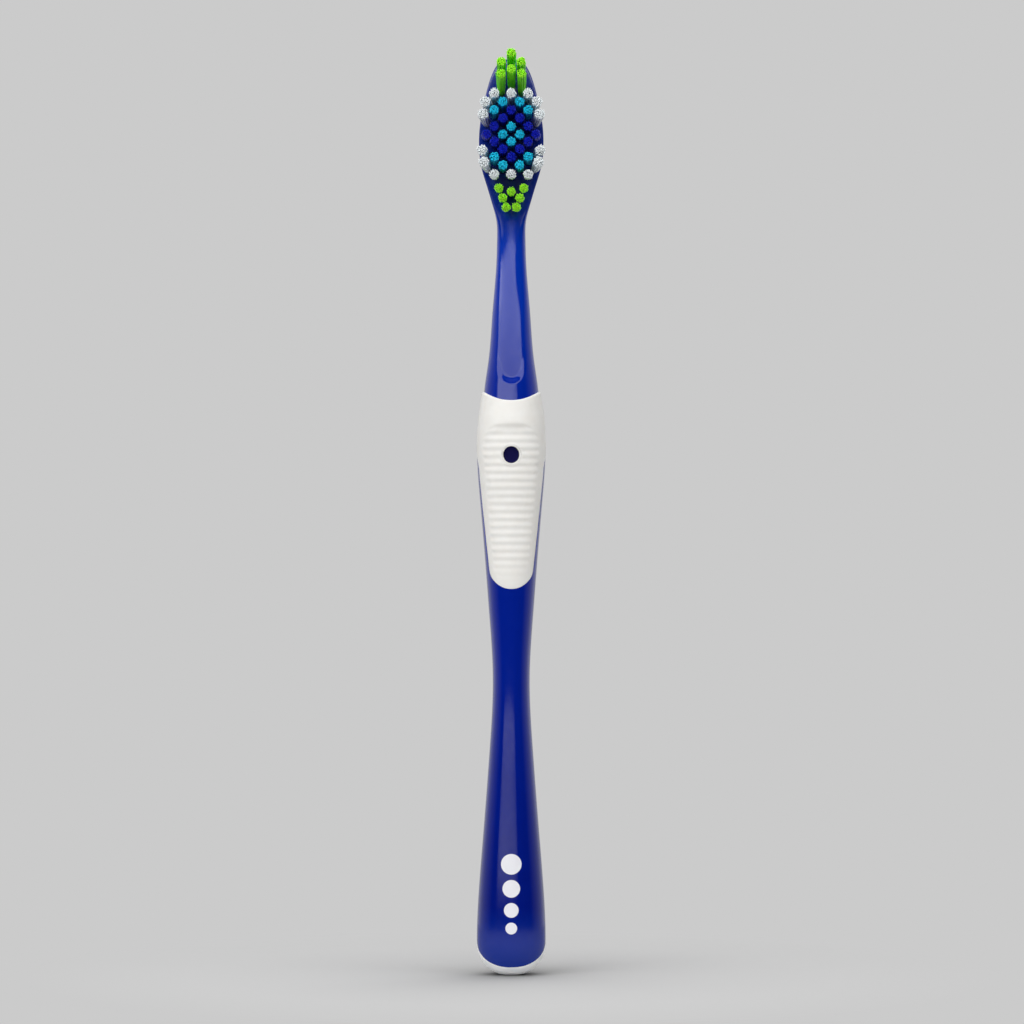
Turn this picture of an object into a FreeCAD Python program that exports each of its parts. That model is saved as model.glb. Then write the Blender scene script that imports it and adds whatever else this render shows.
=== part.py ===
import FreeCAD
import Part
import Sketcher
import math
import os

# Manual toothbrush, in millimetres. Z runs up the length of the brush, the bristles face -Y, X is across,
# and the origin is the middle of the small flat at the butt that the brush stands on.

SIZES = {
    # Butt of the handle: the flat it stands on, then a dome up to the widest section
    "butt_flat_width": 3.8,
    "butt_rise": 7.2,
    "butt_width": 14.16,
    "butt_depth": 11.0,
    # Sections of the handle, each at a rise above the section below it
    "shoulder_rise": 11.9,
    "shoulder_width": 13.1,
    "shoulder_depth": 10.4,
    "lower_rise": 12.4,
    "lower_width": 11.12,
    "lower_depth": 9.4,
    "shank_rise": 14.5,
    "shank_width": 8.94,
    "shank_depth": 8.5,
    "waist_rise": 15.4,
    "waist_width": 7.62,
    "waist_depth": 8.0,
    "upper_rise": 12.6,
    "upper_width": 9.06,
    "upper_depth": 8.9,
    "pad_end_rise": 13.1,
    "pad_end_width": 11.06,
    "pad_end_depth": 10.6,
    "pad_rise": 10.9,
    "pad_width": 12.92,
    "pad_depth": 12.0,
    "grip_rise": 9.7,
    "grip_width": 14.1,
    "grip_depth": 12.8,
    "collar_rise": 7.3,
    "collar_width": 13.3,
    "collar_depth": 11.8,
    "collar_top_rise": 5.0,
    "handle_roundness": 2.15,
    # Soft overmoulding: its wall, the lip of the collar and the narrow ledge that the lip sits on
    "soft_wall": 1.2,
    "lip_wall": 0.25,
    "lip_ledge": 0.1,
    "collar_dip": 2.05,
    "collar_arc_radius": 10.8,
    # Parting line of the thumb grip, seen from the side
    "collar_border_drop": 1.7,
    "collar_border_tilt": 22.0,
    "collar_border_round": 4.0,
    "pad_side_top": 1.9,
    "pad_side_end": 2.7,
    "pad_side_length": 23.9,
    "pad_end_tilt": 55.0,
    "pad_end_round": 3.5,
    # Ribbed thumb zone, its shallow dish and the round window in it
    "dish_depth": 0.45,
    "dish_roundness": 2.3,
    "rib_pitch": 1.61,
    "rib_groove_width": 0.8,
    "rib_groove_depth": 0.25,
    "rib_zone_rise": 5.9,
    "rib_zone_length": 32.7,
    "rib_zone_top_width": 12.4,
    "rib_zone_end_width": 6.6,
    "rib_zone_top_round": 5.6,
    "rib_zone_end_round": 3.1,
    "window_diameter": 3.6,
    "window_drop": 0.95,
    # Parting line of the soft end at the butt
    "soft_end_rise": 6.8,
    "soft_end_tilt": 53.0,
    # Neck sections, each at a rise above the one below it
    "neck_root_depth": 0.8,
    "neck_root_step": 0.15,
    "neck_base_width": 11.12,
    "neck_base_depth": 9.6,
    "neck_lower_rise": 6.2,
    "neck_lower_width": 9.4,
    "neck_lower_depth": 8.6,
    "neck_middle_rise": 9.8,
    "neck_middle_width": 7.78,
    "neck_middle_depth": 7.4,
    "neck_upper_rise": 10.8,
    "neck_upper_width": 6.1,
    "neck_upper_depth": 6.3,
    "neck_top_rise": 4.2,
    "neck_top_width": 5.88,
    "neck_top_depth": 5.8,
    "neck_forward": 0.3,
    "neck_roundness": 2.1,
    # Flat facet down the front of the neck
    "scoop_end_gap": 1.1,
    "scoop_end_forward": 3.7,
    "scoop_width": 6.6,
    "scoop_round": 3.1,
    # Head plate
    "face_rise": 4.0,
    "face_width": 6.2,
    "face_forward": 2.2,
    "head_back": 2.8,
    "head_front_bulge": 3.0,
    "head_roundness": 3.4,
    "heel_width": 7.74,
    "heel_shoulder_width": 10.04,
    "tip_flat_width": 2.0,
    "edge_wall": 0.6,
    # Drilled holes and the metal anchor plates in them
    "hole_diameter": 1.56,
    "hole_depth": 2.8,
    "anchor_bite": 0.1,
    "anchor_thickness": 0.3,
    "anchor_height": 1.3,
    "anchor_fold": 0.5,
    # Tuft field: staggered rows along the head, columns across it
    "column_pitch": 1.72,
    "row_pitch": 1.45,
    "row_fan": 1.15,
    "heel_row_lean": 5.0,
    "side_step_toe": 1.06,
    "side_step_upper": 1.58,
    "side_step_middle": 1.81,
    "side_step_lower": 1.75,
    "side_step_heel": 1.38,
    "side_lean": 4.2,
    "ring_side_lean": 1.5,
    "side_toe_lean": 4.3,
    "side_upper_lean": 6.5,
    "side_lower_lean": -1.9,
    "side_heel_lean": 1.0,
    # Heel tufts, from the neck up to the first row of the field
    "heel_margin": 3.0,
    "heel_last_column": 1.1,
    "heel_last_lean": 0.4,
    "heel_second_gap": 1.9,
    "heel_second_column": 1.74,
    "heel_middle_gap": 1.3,
    "heel_first_gap": 0.7,
    "heel_first_column": 2.53,
    "heel_field_gap": 2.65,
    "heel_lean": 6.0,
    # Toe tufts, from the last row of the field up to the tip
    "toe_field_gap": 1.9,
    "toe_front_column": 2.08,
    "toe_front_gap": 0.95,
    "toe_rear_gap": 1.5,
    "toe_rear_column": 2.03,
    "toe_last_gap": 1.8,
    "tip_margin": 2.8,
    "toe_lean": 16.0,
    # Tufts: clearance in the hole, spread at the tip and free length of each group
    "tuft_clearance": 0.03,
    "tuft_flare": 0.16,
    "tuft_bevel": 0.35,
    "white_tuft_length": 11.0,
    "cross_tuft_length": 10.6,
    "ring_tuft_length": 10.2,
    "centre_tuft_length": 9.8,
    "toe_tuft_length": 11.8,
    "heel_tuft_length": 10.4,
}

# Half-size of the cutting blocks, well outside the brush
FAR = 40.0
# Points that each rounded section is drawn through
SECTION_POINTS = 32
# Angles from the axis at which a domed end is drawn, after its small flat
DOME_ANGLES = (30.0, 48.0, 66.0, 80.0)
# How far the section has turned from neck to head at the start of the face, the heel and its shoulder
FACE_BLEND = 0.3
HEEL_BLEND = 0.6
SHOULDER_BLEND = 0.9
# Shares of the width at which the rounded tip of the head is drawn, and how its depth falls
TIP_SHARES = (0.93, 0.82, 0.68, 0.52, 0.36)
TIP_DEPTH_POWER = 2.5
TIP_DEPTH_ROOT = 0.45

HANDLE_STATIONS = ("butt", "shoulder", "lower", "shank", "waist", "upper", "pad_end", "pad", "grip", "collar")
NECK_STATIONS = ("neck_lower", "neck_middle", "neck_upper", "neck_top")
# Rows of tufts on each side of the middle row, and the outermost column
FIELD_HALF = 5
FIELD_ROWS = range(-FIELD_HALF, FIELD_HALF + 1)
SIDE_COLUMN = 3
SIDE_STEPS = {
    4: "side_step_toe",
    2: "side_step_upper",
    0: "side_step_middle",
    -2: "side_step_lower",
    -4: "side_step_heel",
}

# Lean along the head of the white tufts at its sides, by row
SIDE_LEANS = {
    4: "side_toe_lean",
    2: "side_upper_lean",
    -2: "side_lower_lean",
    -4: "side_heel_lean",
}

doc = FreeCAD.newDocument("toothbrush")
sheet = doc.addObject("Spreadsheet::Sheet", "Sizes")
for line, (alias, value) in enumerate(SIZES.items(), start=1):
    sheet.set(f"A{line}", alias)
    sheet.set(f"B{line}", str(value))
    sheet.setAlias(f"B{line}", alias)
doc.recompute()


def cell(alias):
    return f"Sizes.{alias}"


def total(*terms):
    return " + ".join(f"({term})" for term in terms)


def number(expression):
    return float(sheet.evalExpression(expression))


def size(alias):
    return number(cell(alias))


# Heights up the brush, each one a sum of the rises below it
station_height = {}
climb = []
for station in HANDLE_STATIONS:
    climb.append(cell(f"{station}_rise"))
    station_height[station] = total(*climb)
COLLAR_TOP = total(station_height["collar"], cell("collar_top_rise"))
climb = [COLLAR_TOP]
for station in NECK_STATIONS:
    climb.append(cell(f"{station}_rise"))
    station_height[station] = total(*climb)
FACE_START = total(station_height["neck_top"], cell("face_rise"))
HEEL_LAST = total(FACE_START, cell("heel_margin"))
HEEL_SECOND = total(HEEL_LAST, cell("heel_second_gap"))
HEEL_MIDDLE = total(HEEL_SECOND, cell("heel_middle_gap"))
HEEL_FIRST = total(HEEL_MIDDLE, cell("heel_first_gap"))
FIELD_REACH = f"{FIELD_HALF} * {cell('row_pitch')}"
FIELD_MIDDLE = total(HEEL_FIRST, cell("heel_field_gap"), FIELD_REACH)
TOE_FRONT_SIDE = total(FIELD_MIDDLE, FIELD_REACH, cell("toe_field_gap"))
TOE_FRONT = total(TOE_FRONT_SIDE, cell("toe_front_gap"))
TOE_REAR_SIDE = total(TOE_FRONT, cell("toe_rear_gap"))
TOE_REAR = total(TOE_REAR_SIDE, cell("toe_last_gap"))
TIP = total(TOE_REAR, cell("tip_margin"))
HOLE_RADIUS = f"{cell('hole_diameter')} / 2"
TUFT_RADIUS = f"({HOLE_RADIUS} - {cell('tuft_clearance')})"
ANCHOR_WIDTH = f"({cell('hole_diameter')} + 2 * {cell('anchor_bite')})"
ANCHOR_BOTTOM = f"({cell('anchor_fold')} - {cell('hole_depth')})"


def row_height(row):
    return total(FIELD_MIDDLE, f"{row} * {cell('row_pitch')}")


def side_reach(row):
    return total(f"2 * {cell('column_pitch')}", cell(SIDE_STEPS[row]))


# Rounded sections and the smooth forms drawn through them


def section(height, width, depth, centre, roundness):
    return {"height": height, "width": width, "depth": depth, "centre": centre, "roundness": roundness}


def section_wire(shape):
    power = 2.0 / shape["roundness"]
    points = []
    for step in range(SECTION_POINTS):
        turn = math.pi / 2 + 2 * math.pi * step / SECTION_POINTS
        across = math.copysign(abs(math.cos(turn)) ** power, math.cos(turn))
        along = math.copysign(abs(math.sin(turn)) ** power, math.sin(turn))
        x = shape["width"] / 2 * across
        y = shape["centre"] + shape["depth"] / 2 * along
        points.append(FreeCAD.Vector(x, y, shape["height"]))
    curve = Part.BSplineCurve()
    curve.interpolate(Points=points, PeriodicFlag=True, Parameters=list(range(SECTION_POINTS + 1)))
    return Part.Wire([curve.toShape()])


def dome(base, end_height, end_width):
    # Sections of a rounded end, from its small flat to just short of the base section
    first = math.degrees(math.asin(end_width / base["width"]))
    reach = (end_height - base["height"]) / math.cos(math.radians(first))
    sections = []
    for angle in (first, *DOME_ANGLES):
        share = math.sin(math.radians(angle))
        height = base["height"] + reach * math.cos(math.radians(angle))
        width = base["width"] * share
        depth = base["depth"] * share
        sections.append(section(height, width, depth, base["centre"], base["roundness"]))
    return sections


def head_tip(base):
    # Sections of the tip of the head: the width falls as the cube root of the length left, the depth later
    last = size("tip_flat_width") / base["width"]
    length = number(TIP) - base["height"]
    sections = []
    for share in (*TIP_SHARES, last):
        left = (share**3 - last**3) / (1 - last**3)
        depth_share = (1 - (1 - share**3) ** TIP_DEPTH_POWER) ** TIP_DEPTH_ROOT
        width = base["width"] * share
        depth = base["depth"] * depth_share
        sections.append(section(number(TIP) - length * left, width, depth, base["centre"], base["roundness"]))
    return sections


def form(name, sections):
    feature = doc.addObject("Part::Feature", name)
    feature.Shape = Part.makeLoft([section_wire(shape) for shape in sections], True, False)
    feature.Placement = FreeCAD.Placement()
    return feature


def handle_sections(wall, lip):
    # The handle from butt to collar, shrunk by a wall all round, or by a lip at the top of the collar
    round_power = size("handle_roundness")
    sections = []
    for station in HANDLE_STATIONS:
        width = size(f"{station}_width") - 2 * wall
        depth = size(f"{station}_depth") - 2 * wall
        sections.append(section(number(station_height[station]), width, depth, 0.0, round_power))
    butt_end = dome(sections[0], wall, size("butt_flat_width"))
    margin = 2 * (size("lip_ledge") + size("lip_wall") - lip)
    top_width = size("neck_base_width") + margin
    top_depth = size("neck_base_depth") + margin
    top_height = number(COLLAR_TOP)
    sections.append(section(top_height, top_width, top_depth, 0.0, round_power))
    overrun = size("collar_dip")
    share = overrun / size("neck_lower_rise")
    over_width = top_width - share * (size("neck_base_width") - size("neck_lower_width"))
    over_depth = top_depth - share * (size("neck_base_depth") - size("neck_lower_depth"))
    sections.append(section(top_height + overrun, over_width, over_depth, 0.0, round_power))
    return butt_end + sections


def dish_sections(depth):
    # The handle above its waist, flatter and shallower in front by a depth
    waist = number(station_height["waist"])
    sections = [shape for shape in handle_sections(0.0, 0.0) if shape["height"] > waist]
    for shape in sections:
        shape["depth"] -= 2 * depth
        shape["roundness"] = size("dish_roundness")
    return sections


def neck_root(measure, share):
    # Width or depth of the neck's root, a step inside the core at a share of the way up the collar
    collar = size(f"collar_{measure}") - 2 * size("soft_wall")
    top = size(f"neck_base_{measure}") + 2 * size("lip_ledge")
    return collar + share * (top - collar) - 2 * size("neck_root_step")


def neck_sections():
    # The neck, from its root in the core, below the dip of the collar, up to its thinnest place
    round_power = size("neck_roundness")
    sunk = size("collar_dip") + size("neck_root_depth")
    share = 1 - sunk / size("collar_top_rise")
    top_height = number(COLLAR_TOP)
    sections = [
        section(top_height - sunk, neck_root("width", share), neck_root("depth", share), 0.0, round_power),
        section(top_height, size("neck_base_width"), size("neck_base_depth"), 0.0, round_power),
    ]
    for step, station in enumerate(NECK_STATIONS, start=1):
        width = size(f"{station}_width")
        depth = size(f"{station}_depth")
        forward = -size("neck_forward") * step / len(NECK_STATIONS)
        sections.append(section(number(station_height[station]), width, depth, forward, round_power))
    return sections


def head_sections():
    # The head, whose width at the side tufts is their reach plus the hole and the wall beside it
    front = size("face_forward") + size("head_front_bulge")
    depth = front + size("head_back")
    centre = (size("head_back") - front) / 2
    power = size("head_roundness")
    neck_depth = size("neck_top_depth")
    neck_centre = -size("neck_forward")
    neck_power = size("neck_roundness")
    widths = [
        (FACE_START, size("face_width"), FACE_BLEND),
        (HEEL_LAST, size("heel_width"), HEEL_BLEND),
        (HEEL_FIRST, size("heel_shoulder_width"), SHOULDER_BLEND),
    ]
    for row in sorted(SIDE_STEPS):
        reach = number(total(side_reach(row), HOLE_RADIUS, cell("edge_wall")))
        widths.append((row_height(row), 2 * reach, 1.0))
    sections = []
    for height, width, blend in widths:
        blend_depth = neck_depth + blend * (depth - neck_depth)
        blend_centre = neck_centre + blend * (centre - neck_centre)
        blend_power = neck_power + blend * (power - neck_power)
        sections.append(section(number(height), width, blend_depth, blend_centre, blend_power))
    return sections + head_tip(sections[-1])


# Sketched blocks


def origin_plane(body, role):
    return next(plane for plane in body.Origin.OriginFeatures if plane.Role == role)


def polygon_sketch(body, name, role, corners):
    # A closed outline whose corners are pinned to the sheet by expressions
    sketch = body.newObject("Sketcher::SketchObject", name)
    sketch.AttachmentSupport = [(origin_plane(body, role), "")]
    sketch.MapMode = "FlatFace"
    points = [FreeCAD.Vector(number(first), number(second), 0) for first, second in corners]
    count = len(points)
    for index in range(count):
        sketch.addGeometry(Part.LineSegment(points[index], points[(index + 1) % count]), False)
    for index in range(count):
        sketch.addConstraint(Sketcher.Constraint("Coincident", index, 2, (index + 1) % count, 1))
    for index, (first, second) in enumerate(corners):
        across = sketch.addConstraint(Sketcher.Constraint("DistanceX", index, 1, points[index].x))
        sketch.setExpression(f"Constraints[{across}]", first)
        along = sketch.addConstraint(Sketcher.Constraint("DistanceY", index, 1, points[index].y))
        sketch.setExpression(f"Constraints[{along}]", second)
    return sketch


def prism(name, role, corners, length):
    # A block with the given outline, reaching equally to both sides of its sketch plane
    body = doc.addObject("PartDesign::Body", name)
    sketch = polygon_sketch(body, f"{name}_outline", role, corners)
    pad = body.newObject("PartDesign::Pad", f"{name}_pad")
    pad.Profile = sketch
    pad.SideType = "Symmetric"
    pad.setExpression("Length", length)
    doc.recompute()
    return body


def corner_edge(shape, first_axis, second_axis, first, second):
    # Name of the straight edge that passes through the given corner of a prism
    names = []
    for index, edge in enumerate(shape.Edges, start=1):
        middle = edge.CenterOfMass
        offset = abs(getattr(middle, first_axis) - first) + abs(getattr(middle, second_axis) - second)
        names.append((offset, f"Edge{index}"))
    return min(names)[1]


def round_corners(body, axes, corners, radius):
    edges = [corner_edge(body.Tip.Shape, *axes, number(first), number(second)) for first, second in corners]
    fillet = body.newObject("PartDesign::Fillet", f"{body.Name}_round_{len(body.Group)}")
    fillet.Base = (fillet.BaseFeature, edges)
    fillet.setExpression("Radius", radius)
    doc.recompute()


def block(name, length, width, height, placement):
    box = doc.addObject("Part::Box", name)
    box.setExpression("Length", length)
    box.setExpression("Width", width)
    box.setExpression("Height", height)
    box.Placement = placement
    return box


def rod(name, radius, height, placement):
    cylinder = doc.addObject("Part::Cylinder", name)
    cylinder.setExpression("Radius", radius)
    cylinder.setExpression("Height", height)
    cylinder.Placement = placement
    return cylinder


def cut(name, base, tool):
    feature = doc.addObject("Part::Cut", name)
    feature.Base = base
    feature.Tool = tool
    return feature


def common(name, base, tool):
    feature = doc.addObject("Part::Common", name)
    feature.Base = base
    feature.Tool = tool
    return feature


def fuse(name, shapes):
    feature = doc.addObject("Part::MultiFuse", name)
    feature.Shapes = shapes
    return feature


def turned(x, y, z, axis, angle):
    return FreeCAD.Placement(FreeCAD.Vector(x, y, z), FreeCAD.Rotation(axis, angle))


X_AXIS = FreeCAD.Vector(1, 0, 0)
Z_AXIS = FreeCAD.Vector(0, 0, 1)
REACH = str(2 * FAR)


# Forms shared by the hard core and the soft pieces


def handle_envelope():
    # The outside of handle and grip together, ending at the dipped upper border of the collar
    outside = form("handle_form", handle_sections(0.0, 0.0))
    radius = size("collar_arc_radius")
    centre_height = number(COLLAR_TOP) - size("collar_dip") + radius
    border = rod("collar_border", cell("collar_arc_radius"), REACH, turned(0, FAR, centre_height, X_AXIS, 90))
    return cut("handle_envelope", outside, border)


def grip_zone():
    # Side view of the thumb grip: the collar all round, then the pad along the front
    top = total(station_height["grip"], f"-{cell('collar_border_drop')}")
    end = f"{top} - {cell('pad_side_length')}"
    far_up = total(COLLAR_TOP, str(FAR))
    rise = f"({FAR} + {cell('pad_side_top')}) * tan({cell('collar_border_tilt')} * 1 deg)"
    drop = f"({FAR} - {cell('pad_side_end')}) * tan({cell('pad_end_tilt')} * 1 deg)"
    side_top = (f"-{cell('pad_side_top')}", top)
    side_end = (f"-{cell('pad_side_end')}", end)
    corners = [
        (str(FAR), total(top, rise)),
        side_top,
        side_end,
        (str(-FAR), f"{end} - {drop}"),
        (str(-FAR), far_up),
        (str(FAR), far_up),
    ]
    body = prism("grip_zone", "YZ_Plane", corners, REACH)
    round_corners(body, ("y", "z"), [side_top], cell("collar_border_round"))
    round_corners(body, ("y", "z"), [side_end], cell("pad_end_round"))
    return body


def rib_zone():
    # Front view of the ribbed area: an arched top, tapering sides and a round end
    top = total(station_height["grip"], cell("rib_zone_rise"))
    end = f"{top} - {cell('rib_zone_length')}"
    half_top = f"{cell('rib_zone_top_width')} / 2"
    half_end = f"{cell('rib_zone_end_width')} / 2"
    upper = [(f"-{half_top}", top), (half_top, top)]
    lower = [(half_end, end), (f"-{half_end}", end)]
    body = prism("rib_zone", "XZ_Plane", upper + lower, REACH)
    round_corners(body, ("x", "z"), upper, cell("rib_zone_top_round"))
    round_corners(body, ("x", "z"), lower, cell("rib_zone_end_round"))
    front = block("front_half", REACH, str(FAR), REACH, turned(-FAR, -FAR, FAR, Z_AXIS, 0))
    return common("thumb_zone", body, front)


def thumb_dish(zone):
    # The thumb zone in front of the flatter floor of the dish
    return cut("thumb_dish", zone, form("dish_form", dish_sections(size("dish_depth"))))


def rib_grooves(zone):
    # Shallow channels across the thumb zone, one for each rib pitch, down to the groove floor
    top = number(station_height["grip"]) + size("rib_zone_rise")
    count = int(size("rib_zone_length") / size("rib_pitch"))
    slots = []
    for index in range(count):
        height = top - (index + 1) * size("rib_pitch")
        place = turned(-FAR, -FAR, height, Z_AXIS, 0)
        slots.append(block(f"rib_slot_{index + 1}", REACH, str(FAR), cell("rib_groove_width"), place))
    depth = size("dish_depth") + size("rib_groove_depth")
    channels = common("rib_channels", zone, fuse("rib_slots", slots))
    return cut("rib_grooves", channels, form("groove_floor_form", dish_sections(depth)))


def window_rod():
    height = number(station_height["grip"]) - size("window_drop")
    return rod("window_rod", f"{cell('window_diameter')} / 2", str(FAR), turned(0, 0, height, X_AXIS, 90))


def end_zone():
    # Everything below a plane that climbs from the front of the butt to its back
    tilt = FreeCAD.Rotation(X_AXIS, size("soft_end_tilt"))
    corner = tilt.multVec(FreeCAD.Vector(-FAR, -FAR, -FAR))
    base = FreeCAD.Vector(0, 0, size("soft_end_rise")) + corner
    return block("end_zone", REACH, REACH, str(FAR), FreeCAD.Placement(base, tilt))


# Tufts: their seats on the head, the holes, the anchor plates and the bundles themselves


def tuft(group, x, z, across, along, length):
    return {"group": group, "x": x, "z": z, "across": across, "along": along, "length": length}


def mirrored(group, x, z, across, along, length):
    left = tuft(group, f"-({x})", z, f"-({across})", along, length)
    right = tuft(group, x, z, across, along, length)
    return [left, right]


def field_group(row, column):
    distance = abs(row) + column
    if distance == 1:
        return "centre_tuft"
    if distance == 3:
        return "ring_tuft"
    if column == SIDE_COLUMN:
        return "side_tuft"
    if row == FIELD_ROWS[-1]:
        return "toe_row_tuft"
    if row == FIELD_ROWS[0]:
        return "heel_row_tuft"
    return "cross_tuft"


def field_length(group):
    if group in ("centre_tuft", "ring_tuft", "cross_tuft"):
        return cell(f"{group}_length")
    return cell("white_tuft_length")


def lean_along(row, column):
    # Lean of a field tuft along the head: even steps towards the toe, gathering late towards the heel
    if column == SIDE_COLUMN and row in SIDE_LEANS:
        return cell(SIDE_LEANS[row])
    if row >= 0:
        return f"{row} * {cell('row_fan')}"
    return f"{(row / FIELD_HALF) ** 3} * {cell('heel_row_lean')}"


def field_tufts():
    tufts = []
    for row in FIELD_ROWS:
        columns = (1, SIDE_COLUMN) if row % 2 == 0 else (0, 2)
        for column in columns:
            group = field_group(row, column)
            length = field_length(group)
            along = lean_along(row, column)
            across = "0"
            x = f"{column} * {cell('column_pitch')}"
            if column == SIDE_COLUMN:
                x = side_reach(row)
                across = f"-{cell('ring_side_lean')}" if group == "ring_tuft" else cell("side_lean")
            if column == 0:
                tufts.append(tuft(group, x, row_height(row), across, along, length))
            else:
                tufts.extend(mirrored(group, x, row_height(row), across, along, length))
    return tufts


def heel_tufts():
    lean = f"-{cell('heel_lean')}"
    length = cell("heel_tuft_length")
    inward = f"-{cell('heel_last_lean')}"
    tufts = mirrored("heel_tuft", cell("heel_last_column"), HEEL_LAST, inward, lean, length)
    tufts += mirrored("heel_tuft", cell("heel_second_column"), HEEL_SECOND, "0", lean, length)
    tufts.append(tuft("heel_tuft", "0", HEEL_MIDDLE, "0", lean, length))
    tufts += mirrored("heel_tuft", cell("heel_first_column"), HEEL_FIRST, "0", lean, length)
    return tufts


def toe_tufts():
    lean = cell("toe_lean")
    length = cell("toe_tuft_length")
    tufts = mirrored("toe_tuft", cell("toe_front_column"), TOE_FRONT_SIDE, "0", lean, length)
    tufts.append(tuft("toe_tuft", "0", TOE_FRONT, "0", lean, length))
    tufts += mirrored("toe_tuft", cell("toe_rear_column"), TOE_REAR_SIDE, "0", lean, length)
    tufts.append(tuft("toe_tuft", "0", TOE_REAR, "0", lean, length))
    return tufts


def seat(one):
    # Where a tuft leaves the head face, with its own Z along the bristles
    across = math.tan(math.radians(number(one["across"])))
    along = math.tan(math.radians(number(one["along"])))
    base = FreeCAD.Vector(number(one["x"]), -size("face_forward"), number(one["z"]))
    return FreeCAD.Placement(base, FreeCAD.Rotation(Z_AXIS, FreeCAD.Vector(across, -1, along)))


def drilled_hole(label, place):
    # A blind hole that starts a little outside the face
    bottom = place.multiply(turned(0, 0, -size("hole_depth"), Z_AXIS, 0))
    return rod(f"{label}_hole", HOLE_RADIUS, f"2 * {cell('hole_depth')}", bottom)


def anchor_plate(label, place):
    # A plate across the hole, a fold above its bottom, that bites into the wall on both sides
    half_width = number(ANCHOR_WIDTH) / 2
    half_thickness = size("anchor_thickness") / 2
    corner = place.multiply(turned(-half_width, -half_thickness, number(ANCHOR_BOTTOM), Z_AXIS, 0))
    return block(f"{label}_anchor", ANCHOR_WIDTH, cell("anchor_thickness"), cell("anchor_height"), corner)


def bristle_bundle(label, place, length):
    # A bundle folded round its anchor: straight in the hole, flaring to a bevelled tip
    body = doc.addObject("PartDesign::Body", label)
    bottom = f"{cell('tuft_clearance')} - {cell('hole_depth')}"
    tip_radius = f"{TUFT_RADIUS} + {cell('tuft_flare')}"
    profile = [
        ("0", bottom),
        (TUFT_RADIUS, bottom),
        (TUFT_RADIUS, "0"),
        (tip_radius, f"{length} - {cell('tuft_bevel')}"),
        (f"{tip_radius} - {cell('tuft_bevel')}", length),
        ("0", length),
    ]
    turn = body.newObject("PartDesign::Revolution", f"{label}_turn")
    sketch = polygon_sketch(body, f"{label}_profile", "XZ_Plane", profile)
    turn.Profile = sketch
    turn.ReferenceAxis = (sketch, ["V_Axis"])
    turn.Angle = 360
    half = f"{cell('anchor_thickness')} / 2"
    top = f"{ANCHOR_BOTTOM} + {cell('anchor_height')}"
    outline = [(f"-{half}", ANCHOR_BOTTOM), (half, ANCHOR_BOTTOM), (half, top), (f"-{half}", top)]
    slot = body.newObject("PartDesign::Pocket", f"{label}_slot")
    slot.Profile = polygon_sketch(body, f"{label}_slot_outline", "YZ_Plane", outline)
    slot.SideType = "Symmetric"
    slot.setExpression("Length", ANCHOR_WIDTH)
    body.Placement = place
    return body


# Hard and soft mouldings


def face_block():
    # Everything in front of the flat face that the tufts stand on
    base = turned(-FAR, -2 * FAR - size("face_forward"), number(FACE_START), Z_AXIS, 0)
    return block("face_block", REACH, REACH, REACH, base)


def neck_scoop():
    # A flat facet that runs down the neck from the head face and ends in a round step
    end = total(COLLAR_TOP, cell("scoop_end_gap"))
    floor_end = f"-{cell('scoop_end_forward')}"
    corners = [
        (f"-{cell('face_forward')}", FACE_START),
        (floor_end, end),
        (str(-FAR), end),
        (str(-FAR), FACE_START),
    ]
    body = prism("neck_scoop", "YZ_Plane", corners, cell("scoop_width"))
    half = size("scoop_width") / 2
    step_edges = [(str(-half), end), (str(half), end)]
    round_corners(body, ("x", "z"), step_edges, cell("scoop_round"))
    return body


def mouldings(holes, anchors):
    envelope = handle_envelope()
    core = form("core_form", handle_sections(size("soft_wall"), size("lip_wall")))
    neck = form("neck_form", neck_sections() + head_sections())
    zone = rib_zone()
    relief = [thumb_dish(zone), rib_grooves(zone), window_rod()]
    grip_space = cut("grip_space", grip_zone(), fuse("grip_seat", [core, neck]))
    end_space = cut("end_space", end_zone(), core)
    grip_blank = common("grip_blank", envelope, grip_space)
    thumb_grip = cut("thumb_grip", grip_blank, fuse("grip_relief", relief))
    soft_end = common("soft_end", envelope, end_space)
    hard_handle = cut("hard_handle", envelope, fuse("soft_spaces", [grip_space, end_space]))
    blank = fuse("handle_blank", [hard_handle, neck])
    tools = [face_block(), neck_scoop(), *holes, *anchors]
    handle = cut("handle", blank, fuse("handle_cuts", tools))
    return [handle, thumb_grip, soft_end]


nodes = []
holes = []
anchors = []
group_count = {}
for one in toe_tufts() + field_tufts() + heel_tufts():
    group_count[one["group"]] = group_count.get(one["group"], 0) + 1
    label = f"{one['group']}_{group_count[one['group']]}"
    place = seat(one)
    holes.append(drilled_hole(label, place))
    anchors.append(anchor_plate(label, place))
    nodes.append(bristle_bundle(label, place, one["length"]))
anchor_set = doc.addObject("Part::Compound", "tuft_anchors")
anchor_set.Links = anchors
nodes.append(anchor_set)
nodes.extend(mouldings(holes, anchors))
doc.recompute()

# Every feature has to be sound, and each piece a valid shape, before anything is written
for feature in doc.Objects:
    if "Invalid" in feature.State or "Error" in feature.State:
        raise RuntimeError(f"{feature.Label} did not build: {feature.State}")
for node in nodes:
    node.Label = node.Name
    expected = len(anchors) if node is anchor_set else 1
    if node.Shape.isNull() or not node.Shape.isValid() or len(node.Shape.Solids) != expected:
        raise RuntimeError(f"{node.Label} is not a valid piece")

os.makedirs("parts", exist_ok=True)
for node in nodes:
    node.Shape.exportStep(f"parts/{node.Label}.step")
    print(node.Label, len(node.Shape.Solids), round(node.Shape.Volume, 3))
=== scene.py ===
import math

import bmesh
import bpy
import numpy as np
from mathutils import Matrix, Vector
from mathutils.kdtree import KDTree


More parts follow.
